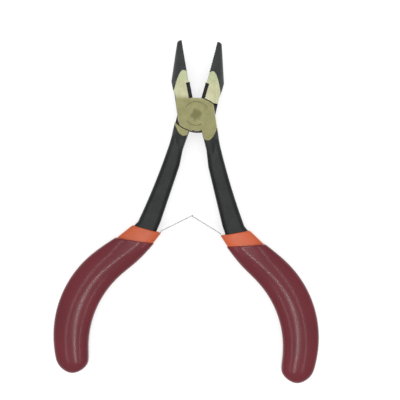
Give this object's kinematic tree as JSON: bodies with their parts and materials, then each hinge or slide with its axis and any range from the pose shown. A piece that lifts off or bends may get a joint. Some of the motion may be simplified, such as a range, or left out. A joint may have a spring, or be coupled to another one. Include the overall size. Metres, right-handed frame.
{
  "type": "needle nose pliers",
  "caption": "Small long-nose pliers with side cutters, lap joint, leaf-spring return and curved double-dipped handles, shown sprung open.",
  "frame": {"origin": "on the pivot axis, at the joint's back face, which the tool rests on", "axes": "+Y from the pivot to the nose, +Z from the back face to the front face along the pivot axis, X across the tool"},
  "size_m": [0.0968, 0.1223, 0.008],
  "materials": {
    "black_steel": "black oxide forging, ground bright on the joint and jaw flats",
    "rivet_steel": "ground",
    "spring_steel": "bright strip",
    "inner_dip": "satin dipped vinyl",
    "outer_dip": "glossy dipped vinyl"
  },
  "bodies": {
    "front_half": {"front_lever": "black_steel", "pivot_rivet": "rivet_steel", "right_spring_tail": "spring_steel", "right_spring_rivet": "rivet_steel", "right_inner_sleeve": "inner_dip", "right_grip": "outer_dip"},
    "rear_half": {"rear_lever": "black_steel", "left_spring_tail": "spring_steel", "left_spring_rivet": "rivet_steel", "left_inner_sleeve": "inner_dip", "left_grip": "outer_dip"},
    "left_blade": {"left_spring_blade": "spring_steel"},
    "right_blade": {"right_spring_blade": "spring_steel"}
  },
  "joints": [
    {"name": "jaw_pivot", "type": "hinge", "parent": "front_half", "child": "rear_half", "pos_m": [0, 0, 0.004], "axis": [0, 0, 1], "range_deg": [0, 27], "stiffness_Nm_per_rad": 0.8, "springref_deg": -5.73},
    {"name": "left_leaf_flex", "type": "hinge", "parent": "rear_half", "child": "left_blade", "pos_m": [-0.01085, -0.04254, 0.004], "axis": [0, 0, 1], "range_deg": [0, 47.6]},
    {"name": "right_leaf_flex", "type": "hinge", "parent": "front_half", "child": "right_blade", "pos_m": [0.01085, -0.04254, 0.004], "axis": [0, 0, 1], "range_deg": [-47.6, 0]}
  ],
  "couplings": [
    {"joint": "left_leaf_flex", "follows": "jaw_pivot", "ratio": 1.7593},
    {"joint": "right_leaf_flex", "follows": "jaw_pivot", "ratio": -1.7593}
  ]
}
